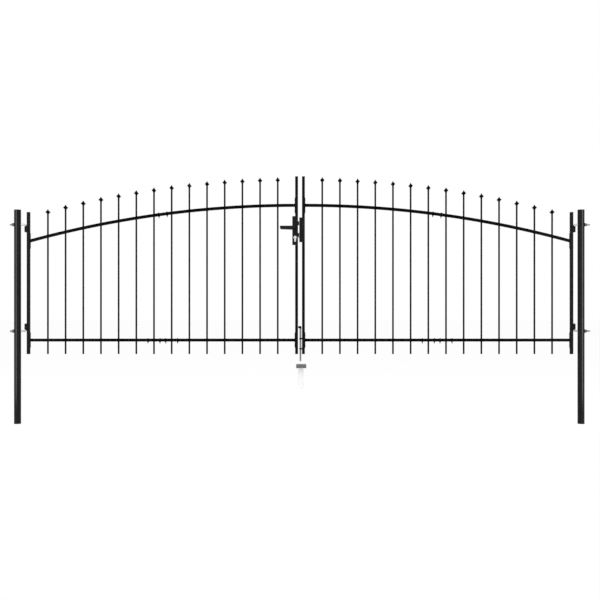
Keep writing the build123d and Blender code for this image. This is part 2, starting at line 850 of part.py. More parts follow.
with BuildPart() as drop_bolt_guides:
    for rise in (lower_guide_rise, upper_guide_rise):
        with BuildSketch(Plane.XY.offset(leaf_bottom + rise - guide_thickness / 2)):
            with Locations((drop_bolt_x, 0)):
                Circle(guide_eye_diameter / 2)
            with Locations((drop_bolt_x + guide_reach / 2, 0)):
                Rectangle(guide_reach, guide_eye_diameter)
            with Locations((drop_bolt_x, 0)):
                Circle(drop_bolt_diameter / 2 + guide_bore_clearance, mode=Mode.SUBTRACT)
        extrude(amount=guide_thickness)
write_piece(drop_bolt_guides, "drop_bolt_guides")

bend_start_height = leaf_bottom + upper_guide_rise + guide_thickness / 2 + bend_stand
arm_height = bend_start_height + bend_radius
arm_way = Vector(0, -1, 0).rotate(Axis.Z, -arm_turn)
arm_plane = Plane(origin=(drop_bolt_x, 0, 0), x_dir=arm_way, z_dir=arm_way.cross(Vector(0, 0, 1)))
rod_radius = drop_bolt_diameter / 2


def arm_route(start_height, reach):
    """Up along the rod's axis, through the bend and out along the arm."""
    with BuildLine(arm_plane) as route:
        FilletPolyline((0, start_height), (0, arm_height), (reach, arm_height), radius=bend_radius)
    return route.wires()[0]


with BuildPart() as drop_bolt_rod:
    with BuildSketch(Plane(origin=(drop_bolt_x, 0, drop_bolt_end_height))):
        Circle(rod_radius)
    sweep(path=arm_route(drop_bolt_end_height, arm_length))
write_piece(drop_bolt_rod, "drop_bolt_rod")

grip_bore_radius = rod_radius + grip_clearance
grip_radius = grip_bore_radius + grip_wall
grip_bottom = bend_start_height - grip_overrun
arm_end = arm_plane.from_local_coords((arm_length + grip_clearance, arm_height, 0))

with BuildPart() as drop_bolt_grip:
    with BuildSketch(Plane(origin=(drop_bolt_x, 0, grip_bottom))):
        Circle(grip_radius)
        Circle(grip_bore_radius, mode=Mode.SUBTRACT)
    sweep(path=arm_route(grip_bottom, arm_length + grip_clearance))
    with BuildSketch(Plane(origin=arm_end, z_dir=arm_way)):
        Circle(grip_radius)
    extrude(amount=grip_end)
write_piece(drop_bolt_grip, "drop_bolt_grip")
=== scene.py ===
import bpy
import bmesh
import json
from math import asin, cos, pi, radians, sin, sqrt
from mathutils import Matrix, Vector


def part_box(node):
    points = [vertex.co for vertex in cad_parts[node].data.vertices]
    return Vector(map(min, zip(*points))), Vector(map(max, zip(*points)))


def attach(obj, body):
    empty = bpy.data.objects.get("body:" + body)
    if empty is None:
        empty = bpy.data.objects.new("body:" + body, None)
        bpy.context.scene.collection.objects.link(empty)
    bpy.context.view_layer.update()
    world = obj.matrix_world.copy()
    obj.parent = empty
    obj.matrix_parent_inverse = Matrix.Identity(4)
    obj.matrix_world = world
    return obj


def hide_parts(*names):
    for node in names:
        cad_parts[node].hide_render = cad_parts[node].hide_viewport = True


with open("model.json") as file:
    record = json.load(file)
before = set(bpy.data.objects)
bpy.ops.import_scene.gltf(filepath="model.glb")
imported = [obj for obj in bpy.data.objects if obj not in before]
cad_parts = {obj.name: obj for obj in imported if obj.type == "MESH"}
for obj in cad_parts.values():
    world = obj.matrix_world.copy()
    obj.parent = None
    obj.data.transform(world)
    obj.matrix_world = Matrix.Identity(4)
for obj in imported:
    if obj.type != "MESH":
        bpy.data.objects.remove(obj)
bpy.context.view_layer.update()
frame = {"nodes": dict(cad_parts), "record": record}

# Places on the gate that several pieces share, in metres. Side -1 is the left leaf, 1 the right,
# and what ends in Out is measured from the middle of the gate towards the post.
gate = {
    "centreX": 1.981,
    "postX": {-1: 0.0, 1: 3.952},
    "postRadius": 0.024,
    "tube": 0.020,
    "barRadius": 0.006,
    "bottomRailZ": 0.586,
    "topRailZ": 1.531,
    "topRailRadius": 7.120,
    "meetingOut": 0.024,
    "hingeOut": 1.904,
    "railStartOut": 0.0373,
    "railEndOut": 1.8907,
    "barPitch": 0.124,
    "firstBarOut": 0.156,
    "barCount": 14,
    "spearRise": 0.200,
    "spearFall": 0.0105,
}
bodyOf = {-1: "left_leaf", 1: "right_leaf"}
sideWord = {-1: "left", 1: "right"}
backward, upward = Vector((0, 1, 0)), Vector((0, 0, 1))


def acrossX(side, out):
    return gate["centreX"] + side * out


def barOuts():
    return [gate["firstBarOut"] + n * gate["barPitch"] for n in range(gate["barCount"])]


def archZ(out):
    run = out - gate["meetingOut"]
    return gate["topRailZ"] - gate["topRailRadius"] + sqrt(gate["topRailRadius"] ** 2 - run**2)


def archLean(out):
    return asin((out - gate["meetingOut"]) / gate["topRailRadius"])


def spearZ(out):
    # the spears stand a little lower over the rail towards the post
    share = (out - gate["meetingOut"]) / (gate["hingeOut"] - gate["meetingOut"])
    return archZ(out) + gate["spearRise"] - gate["spearFall"] * share**2


# Mesh helpers: every added piece is rings of points joined up


def aim(point, direction, twist=0.0):
    # a place whose own Z points along the direction
    turn = Vector(direction).to_track_quat("Z", "Y").to_matrix().to_4x4()
    return Matrix.Translation(point) @ turn @ Matrix.Rotation(twist, 4, "Z")


def joinRings(bm, rings, caps=True, loop=False):
    rows = [[bm.verts.new(spot) for spot in ring] for ring in rings]
    pairs = list(zip(rows, rows[1:]))
    if loop:
        pairs.append((rows[-1], rows[0]))
    for low, high in pairs:
        for k in range(len(low)):
            n = (k + 1) % len(low)
            bm.faces.new((low[k], low[n], high[n], high[k]))
    if caps and not loop:
        bm.faces.new(list(reversed(rows[0])))
        bm.faces.new(rows[-1])


def circleRing(place, radius, height, count):
    # the radius is a number, or a function that gives one for each angle
    spots = []
    for k in range(count):
        angle = 2 * pi * k / count
        reach = radius(angle) if callable(radius) else radius
        spots.append(place @ Vector((reach * cos(angle), reach * sin(angle), height)))
    return spots


def addTurned(bm, place, profile, count=32):
    joinRings(bm, [circleRing(place, radius, height, count) for radius, height in profile])


def hexReach(halfWidth, limit):
    def reach(angle):
        off = (angle + pi / 6) % (pi / 3) - pi / 6
        return min(halfWidth / cos(off), limit)

    return reach


hexBlock = {"turnedOff": 0.97, "endLevel": 0.10, "fullLevel": 0.18}


def addHexBlock(bm, place, halfWidth, height, count=48):
    # the corners are turned off at both ends, as on a machined nut
    corner = halfWidth / cos(pi / 6)
    cut, end, full = hexBlock["turnedOff"], hexBlock["endLevel"], hexBlock["fullLevel"]
    rings = []
    for limit, level in (
        (halfWidth * cut, 0),
        (corner * cut, end),
        (corner, full),
        (corner, 1 - full),
        (corner * cut, 1 - end),
        (halfWidth * cut, 1),
    ):
        rings.append(circleRing(place, hexReach(halfWidth, limit), level * height, count))
    joinRings(bm, rings)


thread = {"depthShare": 0.42, "ringsPerTurn": 6}


def threadReach(radius, depth, turns):
    def reach(angle):
        share = (turns - angle / (2 * pi)) % 1.0
        return radius - depth * abs(2 * share - 1)

    return reach


def threadRings(place, start, length, radius, pitch, count):
    steps = max(2, round(length / pitch * thread["ringsPerTurn"]))
    depth = pitch * thread["depthShare"]
    rings = []
    for k in range(steps + 1):
        height = start + length * k / steps
        rings.append(circleRing(place, threadReach(radius, depth, height / pitch), height, count))
    return rings


# radii of the beads, how their width varies along the way, and how deep they sit
weld = {
    "barBead": 0.0011, "railBead": 0.0016, "caseBead": 0.0012, "guideBead": 0.0013,
    "stopBead": 0.0020, "spacing": 0.0009, "beadSides": 7, "barSpots": 30, "stopSpots": 120,
    "ripple": 0.0026, "stopRipple": 0.0035, "rippleSwell": 0.16,
    "drift": 0.0113, "driftSwell": 0.06, "endShare": 0.35,
    "barSink": 0.45, "railInset": 0.0004, "stopInset": 0.0004, "stopLift": 0.0008,
}


def nearestSpot(ring, spot):
    return min(range(len(ring)), key=lambda n: (ring[n] - spot).length)


def addBead(bm, route, radius, closed=False, ripple=weld["ripple"]):
    # a run of weld: a round bead that swells and narrows along its way
    rings = []
    walked = 0.0
    for k, spot in enumerate(route):
        after = route[(k + 1) % len(route)] if closed or k < len(route) - 1 else spot
        before = route[k - 1] if closed or k > 0 else spot
        along = (after - before).normalized()
        walked += (spot - route[k - 1]).length if k else 0.0
        swell = 1 + weld["rippleSwell"] * sin(2 * pi * walked / ripple)
        swell += weld["driftSwell"] * sin(2 * pi * walked / weld["drift"])
        if not closed and k in (0, len(route) - 1):
            swell = weld["endShare"]
        rings.append(circleRing(aim(spot, along), radius * swell, 0, weld["beadSides"]))
    # rings are turned to follow each other, so the bead doesn't wring
    for k in range(1, len(rings)):
        best = nearestSpot(rings[k], rings[k - 1][0])
        rings[k] = rings[k][best:] + rings[k][:best]
    # where the last ring doesn't meet the first point for point, both get a cap instead
    meets = closed and nearestSpot(rings[0], rings[-1][0]) == 0
    joinRings(bm, rings, loop=meets)


def lineSpots(points, closed=False):
    spots = []
    ends = points + [points[0]] if closed else points
    for start, end in zip(ends, ends[1:]):
        steps = max(1, round((end - start).length / weld["spacing"]))
        spots += [start.lerp(end, k / steps) for k in range(steps)]
    return spots if closed else spots + [ends[-1]]


def finishPiece(bm, name, body, material, replaced=(), sharp=35.0):
    # edges that bend by less than the sharp angle, in degrees, are shaded smooth
    bmesh.ops.recalc_face_normals(bm, faces=bm.faces)
    limit = radians(sharp)
    for edge in bm.edges:
        edge.smooth = edge.is_manifold and edge.calc_face_angle(0.0) < limit
    for face in bm.faces:
        face.smooth = True
    mesh = bpy.data.meshes.new(name)
    bm.to_mesh(mesh)
    bm.free()
    mesh.materials.append(material)
    piece = bpy.data.objects.new(name, mesh)
    bpy.context.scene.collection.objects.link(piece)
    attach(piece, body)
    if replaced:
        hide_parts(*replaced)


# Finishes: two close shades that drift into each other, a varying gloss and a fine grain.
# Cloud and grain are pattern scales, and zinc and nickel show small crystals or drawing marks.
finish = {
    "barCoat": {
        "dark": (0.0018, 0.0018, 0.0019, 1), "light": (0.0030, 0.0030, 0.0032, 1),
        "rough": (0.46, 0.56), "metal": 0.0, "gloss": 0.015, "crystals": False,
        "grain": 1100.0, "grainDepth": 0.00002, "cloud": 9.0,
    },
    "frameCoat": {
        "dark": (0.0040, 0.0040, 0.0042, 1), "light": (0.0064, 0.0064, 0.0067, 1),
        "rough": (0.40, 0.50), "metal": 0.0, "gloss": 0.02, "crystals": False,
        "grain": 1100.0, "grainDepth": 0.00002, "cloud": 9.0,
    },
    "postCoat": {
        "dark": (0.0040, 0.0040, 0.0042, 1), "light": (0.0060, 0.0060, 0.0063, 1),
        "rough": (0.13, 0.16), "metal": 0.0, "gloss": 0.12, "crystals": False,
        "grain": 900.0, "grainDepth": 0.00001, "cloud": 7.0,
    },
    "lockCoat": {
        "dark": (0.0065, 0.0065, 0.0068, 1), "light": (0.0100, 0.0100, 0.0104, 1),
        "rough": (0.32, 0.42), "metal": 0.0, "gloss": 0.08, "crystals": False,
        "grain": 1400.0, "grainDepth": 0.00002, "cloud": 20.0,
    },
    "leverCoat": {
        "dark": (0.0020, 0.0020, 0.0021, 1), "light": (0.0034, 0.0034, 0.0035, 1),
        "rough": (0.15, 0.20), "metal": 0.0, "gloss": 0.18, "crystals": False,
        "grain": 1400.0, "grainDepth": 0.00001, "cloud": 20.0,
    },
    "capPlastic": {
        "dark": (0.0020, 0.0020, 0.0021, 1), "light": (0.0036, 0.0036, 0.0038, 1),
        "rough": (0.5, 0.62), "metal": 0.0, "gloss": 0.04, "crystals": False,
        "grain": 2600.0, "grainDepth": 0.00003, "cloud": 30.0,
    },
    "brightZinc": {
        "dark": (0.22, 0.222, 0.226, 1), "light": (0.27, 0.272, 0.276, 1),
        "rough": (0.38, 0.46), "metal": 0.75, "gloss": 0.3, "crystals": True,
        "grain": 700.0, "grainDepth": 0.000006, "cloud": 22.0,
    },
    "darkZinc": {
        "dark": (0.055, 0.056, 0.058, 1), "light": (0.080, 0.081, 0.084, 1),
        "rough": (0.36, 0.46), "metal": 0.8, "gloss": 0.3, "crystals": True,
        "grain": 700.0, "grainDepth": 0.000006, "cloud": 40.0,
    },
    "dullZinc": {
        "dark": (0.145, 0.147, 0.15, 1), "light": (0.18, 0.182, 0.186, 1),
        "rough": (0.46, 0.6), "metal": 0.6, "gloss": 0.3, "crystals": True,
        "grain": 500.0, "grainDepth": 0.00002, "cloud": 60.0,
    },
    "paleZinc": {
        "dark": (0.88, 0.881, 0.883, 1), "light": (0.895, 0.896, 0.898, 1),
        "rough": (0.5, 0.6), "metal": 0.0, "gloss": 0.2, "crystals": True,
        "grain": 420.0, "grainDepth": 0.00001, "cloud": 50.0,
    },
    "satinNickel": {
        "dark": (0.72, 0.71, 0.69, 1), "light": (0.80, 0.79, 0.77, 1),
        "rough": (0.22, 0.30), "metal": 1.0, "gloss": 0.5, "crystals": True,
        "grain": 3000.0, "grainDepth": 0.00001, "cloud": 150.0,
    },
}
pattern = {
    "noiseRough": 0.55, "cloudDetail": 5.0, "shadeFrom": 0.36, "shadeTo": 0.64,
    "crystalShare": 3, "crystalLow": 0.94, "crystalHigh": 1.04,
    "sheenShare": 4, "sheenDetail": 6.0, "sheenFrom": 0.3, "sheenTo": 0.7,
    "grainDetail": 3.0, "bumpStrength": 0.7,
}


def makeFinish(name):
    look = finish[name]
    material = bpy.data.materials.new(name)
    material.use_nodes = True
    nodes, links = material.node_tree.nodes, material.node_tree.links
    shader = nodes["Principled BSDF"]
    shader.inputs["Metallic"].default_value = look["metal"]
    shader.inputs["Specular IOR Level"].default_value = look["gloss"]
    place = nodes.new("ShaderNodeTexCoord")

    def noise(scale, detail):
        node = nodes.new("ShaderNodeTexNoise")
        node.inputs["Scale"].default_value = scale
        node.inputs["Detail"].default_value = detail
        node.inputs["Roughness"].default_value = pattern["noiseRough"]
        links.new(place.outputs["Object"], node.inputs["Vector"])
        return node.outputs["Fac"]

    shade = nodes.new("ShaderNodeValToRGB")
    shade.color_ramp.elements[0].position = pattern["shadeFrom"]
    shade.color_ramp.elements[1].position = pattern["shadeTo"]
    shade.color_ramp.elements[0].color = look["dark"]
    shade.color_ramp.elements[1].color = look["light"]
    links.new(noise(look["cloud"], pattern["cloudDetail"]), shade.inputs["Fac"])
    colour = shade.outputs["Color"]
    if look["crystals"]:
        crystal = nodes.new("ShaderNodeTexVoronoi")
        crystal.inputs["Scale"].default_value = look["cloud"] * pattern["crystalShare"]
        links.new(place.outputs["Object"], crystal.inputs["Vector"])
        tint = nodes.new("ShaderNodeMapRange")
        tint.inputs["To Min"].default_value = pattern["crystalLow"]
        tint.inputs["To Max"].default_value = pattern["crystalHigh"]
        links.new(crystal.outputs["Color"], tint.inputs["Value"])
        mix = nodes.new("ShaderNodeMix")
        mix.data_type = "RGBA"
        mix.blend_type = "MULTIPLY"
        mix.inputs["Factor"].default_value = 1.0
        links.new(colour, mix.inputs["A"])
        links.new(tint.outputs["Result"], mix.inputs["B"])
        colour = mix.outputs["Result"]
    links.new(colour, shader.inputs["Base Color"])
    sheen = nodes.new("ShaderNodeMapRange")
    sheen.inputs["From Min"].default_value = pattern["sheenFrom"]
    sheen.inputs["From Max"].default_value = pattern["sheenTo"]
    sheen.inputs["To Min"].default_value = look["rough"][0]
    sheen.inputs["To Max"].default_value = look["rough"][1]
    sheenNoise = noise(look["cloud"] * pattern["sheenShare"], pattern["sheenDetail"])
    links.new(sheenNoise, sheen.inputs["Value"])
    links.new(sheen.outputs["Result"], shader.inputs["Roughness"])
    bump = nodes.new("ShaderNodeBump")
    bump.inputs["Strength"].default_value = pattern["bumpStrength"]
    bump.inputs["Distance"].default_value = look["grainDepth"]
    links.new(noise(look["grain"], pattern["grainDetail"]), bump.inputs["Height"])
    links.new(bump.outputs["Normal"], shader.inputs["Normal"])
    return material


looks = {name: makeFinish(name) for name in finish}
slotLook = {
    "black_powder_coat": "frameCoat",
    "zinc_plate": "brightZinc",
    "black_plastic": "capPlastic",
    "nickel": "satinNickel",
}
# nodes that look different from the rest of their slot
nodeLook = {
    "lock_case": "lockCoat",
    "keep_box": "lockCoat",
    "latch_tongue": "lockCoat",
    "deadbolt": "lockCoat",
    "lever_spindle": "lockCoat",
    "ground_stop_block": "dullZinc",
    "ground_stop_anchor": "paleZinc",
}
for word in sideWord.values():
    nodeLook[f"{word}_post"] = "postCoat"
    nodeLook[f"{word}_bars"] = "barCoat"
    for rail in ("bottom_rail", "top_rail"):
        nodeLook[f"{word}_{rail}_inner"] = "barCoat"
        nodeLook[f"{word}_{rail}_outer"] = "barCoat"
for row in frame["record"]["subparts"]:
    materials = frame["nodes"][row["node"]].data.materials
    materials.clear()
    materials.append(looks[nodeLook.get(row["node"], slotLook[row["material_slot"]])])
print("finishes are on the solids")


# Spear heads: four hollow flanks that meet in soft edges, and a forged neck on the bar

# shares run from the tip down the point, and from the widest place down the base
spear = {
    "pointLength": 0.022, "baseLength": 0.013, "halfWidth": 0.015, "rim": 0.001,
    "pointHollow": 0.0018, "baseHollow": 0.0012, "tipHalf": 0.0006, "softCorner": 0.16,
    "cornerSpots": 4, "footLength": 0.0085,
    "pointShares": (0, 0.027, 0.07, 0.14, 0.25, 0.38, 0.52, 0.66, 0.79, 0.90, 0.965, 0.992),
    "baseShares": (0.035, 0.08, 0.14, 0.24, 0.37, 0.52, 0.69, 0.86, 1),
    "neckLength": 0.0032, "neckSpots": 20,
    "neck": (
        (0.00602, 0), (0.0067, 0.0006), (0.00695, 0.0016), (0.0067, 0.0026), (0.00602, 0.0032),
    ),
}


def flankHalf(depth):
    # half the head's width at this depth below its tip
    share = depth / spear["pointLength"]
    if share <= 1:
        width = spear["tipHalf"] + (spear["halfWidth"] - spear["tipHalf"]) * share
        return width - spear["pointHollow"] * 4 * share * (1 - share)
    below = depth - spear["pointLength"] - spear["rim"]
    if below <= 0:
        return spear["halfWidth"]
    share = below / (spear["baseLength"] - spear["rim"])
    width = spear["halfWidth"] + (gate["barRadius"] - spear["halfWidth"]) * share
    return width - spear["baseHollow"] * 4 * share * (1 - share)


def softSquare(centre, half, cornerShare):
    radius = half * cornerShare
    spots = []
    for quarter, (sx, sy) in enumerate(((1, 1), (-1, 1), (-1, -1), (1, -1))):
        for k in range(spear["cornerSpots"]):
            angle = pi / 2 * (quarter + k / (spear["cornerSpots"] - 1))
            x = sx * (half - radius) + radius * cos(angle)
            y = sy * (half - radius) + radius * sin(angle)
            spots.append(centre + Vector((x, y, 0)))
    return spots


def makeSpearHeads(side):
    bm = bmesh.new()
    total = spear["pointLength"] + spear["baseLength"]
    footStart = total - spear["footLength"]
    depths = [spear["pointLength"] * share for share in spear["pointShares"]]
    depths += [spear["pointLength"] + spear["baseLength"] * share for share in spear["baseShares"]]
    for out in barOuts():
        tip = Vector((acrossX(side, out), 0, spearZ(out)))
        rings = []
        for depth in depths:
            half = flankHalf(depth) if depth else spear["tipHalf"] * 0.5
            # the foot runs over into the round bar
            foot = max(0.0, (depth - footStart) / (total - footStart))
            corner = spear["softCorner"] + (1 - spear["softCorner"]) * foot
            rings.append(softSquare(tip - upward * depth, half, corner))
        joinRings(bm, list(reversed(rings)))
        neck = aim(tip - upward * (total + spear["neckLength"]), upward)
        addTurned(bm, neck, spear["neck"], spear["neckSpots"])
    word = sideWord[side]
    finishPiece(
        bm, f"{word}SpearHeads", bodyOf[side], looks["barCoat"],
        [f"{word}_spear_heads"], sharp=50,
    )


for side in (-1, 1):
    makeSpearHeads(side)
print("spear heads are in")


# Welds: round every bar on both rails, and where the rails meet their end plates


def barBeadRoute(x, seatZ, lean):
    radius = gate["barRadius"] + weld["barBead"] * weld["barSink"]
    slope = sin(lean) / cos(lean)
    spots = []
    for k in range(weld["barSpots"]):
        angle = 2 * pi * k / weld["barSpots"]
        reach = radius * cos(angle)
        spots.append(Vector((x + reach, radius * sin(angle), seatZ - reach * slope)))
    return spots


def squareRoute(x, centreZ, half):
    corners = [(-half, -half), (half, -half), (half, half), (-half, half)]
    return lineSpots([Vector((x, y, centreZ + z)) for y, z in corners], closed=True)


def makeWelds(side):
    bm = bmesh.new()
    halfTube = gate["tube"] / 2
    for out in barOuts():
        x = acrossX(side, out)
        lean = archLean(out)
        for turn in (-1, 1):
            seat = gate["bottomRailZ"] + turn * halfTube
            addBead(bm, barBeadRoute(x, seat, 0), weld["barBead"], True)
            seat = archZ(out) + turn * halfTube / cos(lean)
            addBead(bm, barBeadRoute(x, seat, side * lean), weld["barBead"], True)
    for out, away in ((gate["railStartOut"], 1), (gate["railEndOut"], -1)):
        x = acrossX(side, out + away * weld["railInset"])
        for seat in (gate["bottomRailZ"], archZ(out)):
            route = squareRoute(x, seat, halfTube - weld["railInset"])
            addBead(bm, route, weld["railBead"], True)
    finishPiece(
        bm, f"{sideWord[side]}RailWelds", bodyOf[side], looks["barCoat"],
        sharp=60,
    )


for side in (-1, 1):
    makeWelds(side)
print("welds are in")


# Hinge hooks: bent rods with a rolled thread from the outer end to past the post

hook = {
    "radius": 0.006, "pitch": 0.00175, "pinOut": 1.9232, "outer": 0.111, "bend": 0.010,
    "endRings": ((0.0044, 0), (0.0050, 0.0004)), "threadStart": 0.0010, "threadLength": 0.078,
    "runOut": 0.0012, "bendSteps": 12, "pinTaper": 0.0012, "pinNear": 0.0065, "count": 24,
}


def hookLevels(side):
    # the heights of one post's two hooks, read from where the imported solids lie
    low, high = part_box(f"{sideWord[side]}_hinge_hooks")
    return low.z + hook["radius"], high.z - hook["radius"]


def pinLevels(side):
    # where each pin ends: found from the solid's own points near the pin's axis
    node = frame["nodes"][f"{sideWord[side]}_hinge_hooks"]
    low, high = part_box(node.name)
    middle = (low.z + high.z) / 2
    pinX = acrossX(side, hook["pinOut"])
    near = [v.co.z for v in node.data.vertices if abs(v.co.x - pinX) < hook["pinNear"]]
    return max(z for z in near if z < middle), min(z for z in near if z > middle)


def rodRings(side, height):
    # the straight rod from its threaded end to the bend
    pinX = acrossX(side, hook["pinOut"])
    place = aim(Vector((pinX + side * hook["outer"], 0, height)), (-side, 0, 0))
    rings = [circleRing(place, radius, level, hook["count"]) for radius, level in hook["endRings"]]
    rings += threadRings(
        place, hook["threadStart"], hook["threadLength"], hook["radius"], hook["pitch"],
        hook["count"],
    )
    plainStart = hook["threadStart"] + hook["threadLength"] + hook["runOut"]
    rings.append(circleRing(place, hook["radius"], plainStart, hook["count"]))
    bendStart = hook["outer"] - hook["bend"]
    rings.append(circleRing(place, hook["radius"], bendStart, hook["count"]))
    return rings


def pinRings(side, height, up, pinEnd):
    # the bend and the pin, with a taper at the pin's end
    pinX = acrossX(side, hook["pinOut"])
    bend = hook["bend"]
    centre = Vector((pinX + side * bend, 0, height + up * bend))
    route, ways = [], []
    for k in range(hook["bendSteps"] + 1):
        angle = pi / 2 * k / hook["bendSteps"]
        route.append(centre + Vector((-side * bend * sin(angle), 0, -up * bend * cos(angle))))
        ways.append(Vector((-side * cos(angle), 0, up * sin(angle))))
    for level in (pinEnd - up * hook["pinTaper"], pinEnd):
        route.append(Vector((pinX, 0, level)))
        ways.append(Vector((0, 0, up)))
    rings = []
    for k, (spot, way) in enumerate(zip(route, ways)):
        other = way.cross(backward)
        reach = hook["radius"] - (hook["pinTaper"] if k == len(route) - 1 else 0)
        ring = []
        for n in range(hook["count"]):
            angle = 2 * pi * n / hook["count"]
            ring.append(spot + backward * reach * cos(angle) + other * reach * sin(angle))
        rings.append(ring)
    return rings


def makeHooks(side):
    bm = bmesh.new()
    lowerZ, upperZ = hookLevels(side)
    lowerEnd, upperEnd = pinLevels(side)
    for height, up, pinEnd in ((lowerZ, 1, lowerEnd), (upperZ, -1, upperEnd)):
        joinRings(bm, rodRings(side, height))
        joinRings(bm, pinRings(side, height, up, pinEnd))
    word = sideWord[side]
    finishPiece(
        bm, f"{word}HingeHooks", "posts", looks["brightZinc"],
        [f"{word}_hinge_hooks"], sharp=50,
    )


for side in (-1, 1):
    makeHooks(side)

nuts = {
    "halfWidth": 0.0095, "height": 0.012, "washerRadius": 0.013, "washer": 0.0035, "gap": 0.0003,
    "backEdge": 0.0005, "frontEdge": 0.0008, "slack": 0.0001, "turn": 17, "nextTurn": 21,
    "washerSpots": 40,
}


def makeHingeNuts():
    bm = bmesh.new()
    edge, washer = nuts["washerRadius"], nuts["washer"]
    profile = [
        (edge - nuts["backEdge"], 0),
        (edge, nuts["backEdge"]),
        (edge, washer - nuts["frontEdge"]),
        (edge - nuts["frontEdge"], washer - nuts["slack"]),
    ]
    for side in (-1, 1):
        seatX = gate["postX"][side] + side * (gate["postRadius"] + nuts["gap"])
        for number, height in enumerate(hookLevels(side)):
            twist = radians(nuts["turn"] + nuts["nextTurn"] * number)
            place = aim(Vector((seatX, 0, height)), (side, 0, 0), twist)
            addTurned(bm, place, profile, nuts["washerSpots"])
            lift = place @ Matrix.Translation((0, 0, washer))
            addHexBlock(bm, lift, nuts["halfWidth"], nuts["height"])
    finishPiece(
        bm, "hingeNuts", "posts", looks["darkZinc"], ["hinge_nuts"], sharp=28
    )


makeHingeNuts()
print("hinge hooks and nuts are in")


# Bolts of the rail joints: low heads above, washers, nuts and thread ends below

joint = {
    "spliceOut": 0.962, "bottomOffsets": (-0.104, -0.020, 0.020, 0.104),
    "topOffsets": (-0.029, 0.029), "boltRadius": 0.003, "pitch": 0.001, "endLength": 0.014,
    "endShare": 0.72, "headHalf": 0.0055, "bottomHead": 0.0026, "topHead": 0.0044,
    "recessShare": 0.36, "recessFloor": 0.45, "nutHalf": 0.0050, "nutHeight": 0.005,
    "nutTurn": 11, "seatGap": 0.00005, "threadGap": 0.0004, "headSpots": 36, "threadSpots": 16,
    # shares of the head's radius and height, from the rail up to the recess
    "dome": ((0.96, 0), (1, 0.16), (0.96, 0.5), (0.82, 0.8), (0.62, 0.96), (0.5, 1.0)),
    "washer": ((0.0062, 0), (0.0064, 0.0003), (0.0064, 0.0009), (0.0061, 0.0012)),
    "washerHeight": 0.0012,
}


def boltAt(bm, point, up, headHeight):
    half = gate["tube"] / 2 + joint["seatGap"]
    # a domed head with a six-sided driving recess
    head = aim(point + up * half, up)
    reach, count = joint["headHalf"], joint["headSpots"]
    rings = [
        circleRing(head, reach * share, headHeight * level, count) for share, level in joint["dome"]
    ]
    recess = hexReach(reach * joint["recessShare"], reach)
    rings.append(circleRing(head, recess, headHeight, count))
    rings.append(circleRing(head, recess, headHeight * joint["recessFloor"], count))
    joinRings(bm, rings)
    foot = aim(point - up * half, -up, radians(joint["nutTurn"]))
    addTurned(bm, foot, joint["washer"])
    lift = foot @ Matrix.Translation((0, 0, joint["washerHeight"]))
    addHexBlock(bm, lift, joint["nutHalf"], joint["nutHeight"] - joint["washerHeight"], count)
    rings = threadRings(
        foot,
        joint["nutHeight"] - joint["threadGap"],
        joint["endLength"] - joint["nutHeight"] - joint["threadGap"],
        joint["boltRadius"],
        joint["pitch"],
        joint["threadSpots"],
    )
    endRadius = joint["boltRadius"] * joint["endShare"]
    endLevel = joint["endLength"] - joint["seatGap"]
    rings.append(circleRing(foot, endRadius, endLevel, joint["threadSpots"]))
    joinRings(bm, rings)


def makeJointBolts(side):
    bm = bmesh.new()
    for offset in joint["bottomOffsets"]:
        spot = Vector((acrossX(side, joint["spliceOut"] + offset), 0, gate["bottomRailZ"]))
        boltAt(bm, spot, upward, joint["bottomHead"])
    for offset in joint["topOffsets"]:
        out = joint["spliceOut"] + offset
        lean = archLean(out)
        up = Vector((side * sin(lean), 0, cos(lean)))
        boltAt(bm, Vector((acrossX(side, out), 0, archZ(out))), up, joint["topHead"])
    word = sideWord[side]
    finishPiece(
        bm, f"{word}JointBolts", bodyOf[side], looks["barCoat"],
        [f"{word}_splice_bolts"], sharp=32,
    )


for side in (-1, 1):
    makeJointBolts(side)
print("joint bolts are in")


# Small dome-headed screws: end plates to stiles, hinge eyes, lock case and keep

screw = {
    "recessShare": 0.36, "recessFloor": 0.3, "spots": 28,
    # shares of the head's radius and height, from its seat up to the recess
    "dome": ((0.98, 0), (1, 0.2), (0.93, 0.52), (0.78, 0.8), (0.58, 0.96)),
}


def addScrew(bm, point, way, radius, height, twist):
    # the twist turns each recess its own way
    place, count = aim(point, way, twist), screw["spots"]
    rings = [
        circleRing(place, radius * share, height * level, count) for share, level in screw["dome"]
    ]
    recess = hexReach(radius * screw["recessShare"], radius)
    rings.append(circleRing(place, recess, height, count))
    rings.append(circleRing(place, recess, height * screw["recessFloor"], count))
    joinRings(bm, rings)


plateScrews = {
    "rise": 0.036, "radius": 0.0050, "height": 0.0009,
    "eyeInset": 0.010, "eyeNext": 0.0305, "eyeShift": 0.0035, "eyeRadius": 0.0038,
    "eyeHeight": 0.0022, "eyeTwist": 50,
}


def makePlateScrews(side):
    bm = bmesh.new()
    for out, away in ((gate["railStartOut"], 1), (gate["railEndOut"], -1)):
        for seat in (gate["bottomRailZ"], archZ(out)):
            for turn in (-1, 1):
                spot = Vector((acrossX(side, out), 0, seat + turn * plateScrews["rise"]))
                radius, height = plateScrews["radius"], plateScrews["height"]
                addScrew(bm, spot, (side * away, 0, 0), radius, height, turn)
    word = sideWord[side]
    low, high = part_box(f"{word}_hinge_brackets")
    eyeX = acrossX(side, gate["hingeOut"]) + side * plateScrews["eyeShift"]
    inset, further = plateScrews["eyeInset"], plateScrews["eyeNext"]
    for level in (low.z + inset, low.z + further, high.z - further, high.z - inset):
        for face in (-1, 1):
            spot = Vector((eyeX, face * high.y, level))
            radius, height = plateScrews["eyeRadius"], plateScrews["eyeHeight"]
            addScrew(bm, spot, (0, face, 0), radius, height, level * plateScrews["eyeTwist"])
    finishPiece(bm, f"{word}PlateScrews", bodyOf[side], looks["barCoat"])


